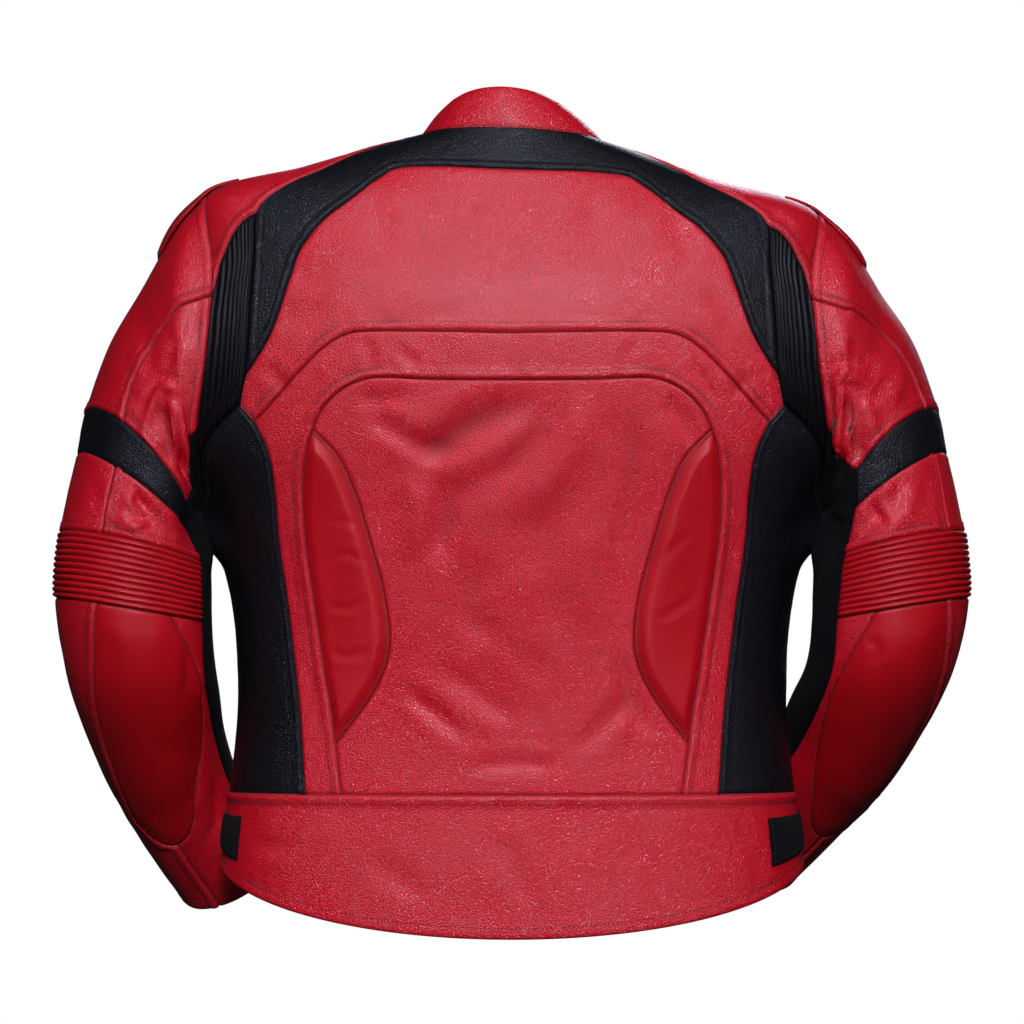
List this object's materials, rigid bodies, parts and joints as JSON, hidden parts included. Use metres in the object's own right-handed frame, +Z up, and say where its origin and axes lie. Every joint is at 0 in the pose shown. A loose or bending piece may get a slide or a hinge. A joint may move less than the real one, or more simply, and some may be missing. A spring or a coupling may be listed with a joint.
{
  "type": "leather motorcycle jacket",
  "caption": "Two-colour leather racing jacket, filled out as worn, with accordion stretch panels, hem band, stand collar and bent sleeves.",
  "frame": {"origin": "between the two shoulders at the neck, where the wearer carries the jacket", "axes": "+Z up, +X to the wearer's right, +Y to the wearer's front"},
  "size_m": [0.7332, 0.3179, 0.6774],
  "materials": {
    "red_leather": "pebbled cowhide, satin",
    "smooth_red_leather": "fine grain, satin",
    "black_leather": "fine pebbled grain, satin",
    "stretch_fabric": "ribbed elastic weave, matt",
    "hook_fabric": "woven tape, matt",
    "guard_plastic": "gloss lacquer",
    "zip_metal": "polished gunmetal"
  },
  "bodies": {
    "jacket": {"yoke": "black_leather", "upper_back": "red_leather", "back_arch": "red_leather", "centre_back": "red_leather", "hem_back": "red_leather", "collar": "red_leather", "zip_slider": "zip_metal", "kidney_pad_left": "smooth_red_leather", "kidney_pad_right": "smooth_red_leather", "side_panel_left": "black_leather", "side_panel_right": "black_leather", "blade_accordion_left": "black_leather", "blade_accordion_right": "black_leather", "shoulder_panel_left": "red_leather", "shoulder_panel_right": "red_leather", "front_panel_left": "red_leather", "front_panel_right": "red_leather", "hem_front_left": "red_leather", "hem_front_right": "red_leather", "hem_tab_left": "hook_fabric", "hem_tab_right": "hook_fabric", "zip_tape_left": "hook_fabric", "zip_tape_right": "hook_fabric", "sleeve_cap_left": "red_leather", "sleeve_cap_right": "red_leather", "sleeve_under_left": "red_leather", "sleeve_under_right": "red_leather", "arm_band_left": "black_leather", "arm_band_right": "black_leather", "upper_elbow_back_left": "red_leather", "upper_elbow_back_right": "red_leather", "upper_elbow_front_left": "red_leather", "upper_elbow_front_right": "red_leather", "elbow_accordion_left": "red_leather", "elbow_accordion_right": "red_leather", "elbow_bend_left": "red_leather", "elbow_bend_right": "red_leather", "elbow_panel_left": "smooth_red_leather", "elbow_panel_right": "smooth_red_leather", "forearm_inner_left": "red_leather", "forearm_inner_right": "red_leather", "forearm_outer_left": "red_leather", "forearm_outer_right": "red_leather", "stretch_panel_left": "stretch_fabric", "stretch_panel_right": "stretch_fabric", "shoulder_guard_left": "guard_plastic", "shoulder_guard_right": "guard_plastic"},
    "pull_tab": {"zip_pull_tab": "zip_metal"}
  },
  "joints": [
    {"name": "pull_tab_swing", "type": "hinge", "parent": "jacket", "child": "pull_tab", "pos_m": [0, 0.095, -0.0544], "axis": [1, 0, 0], "range_deg": [0, 140]}
  ]
}
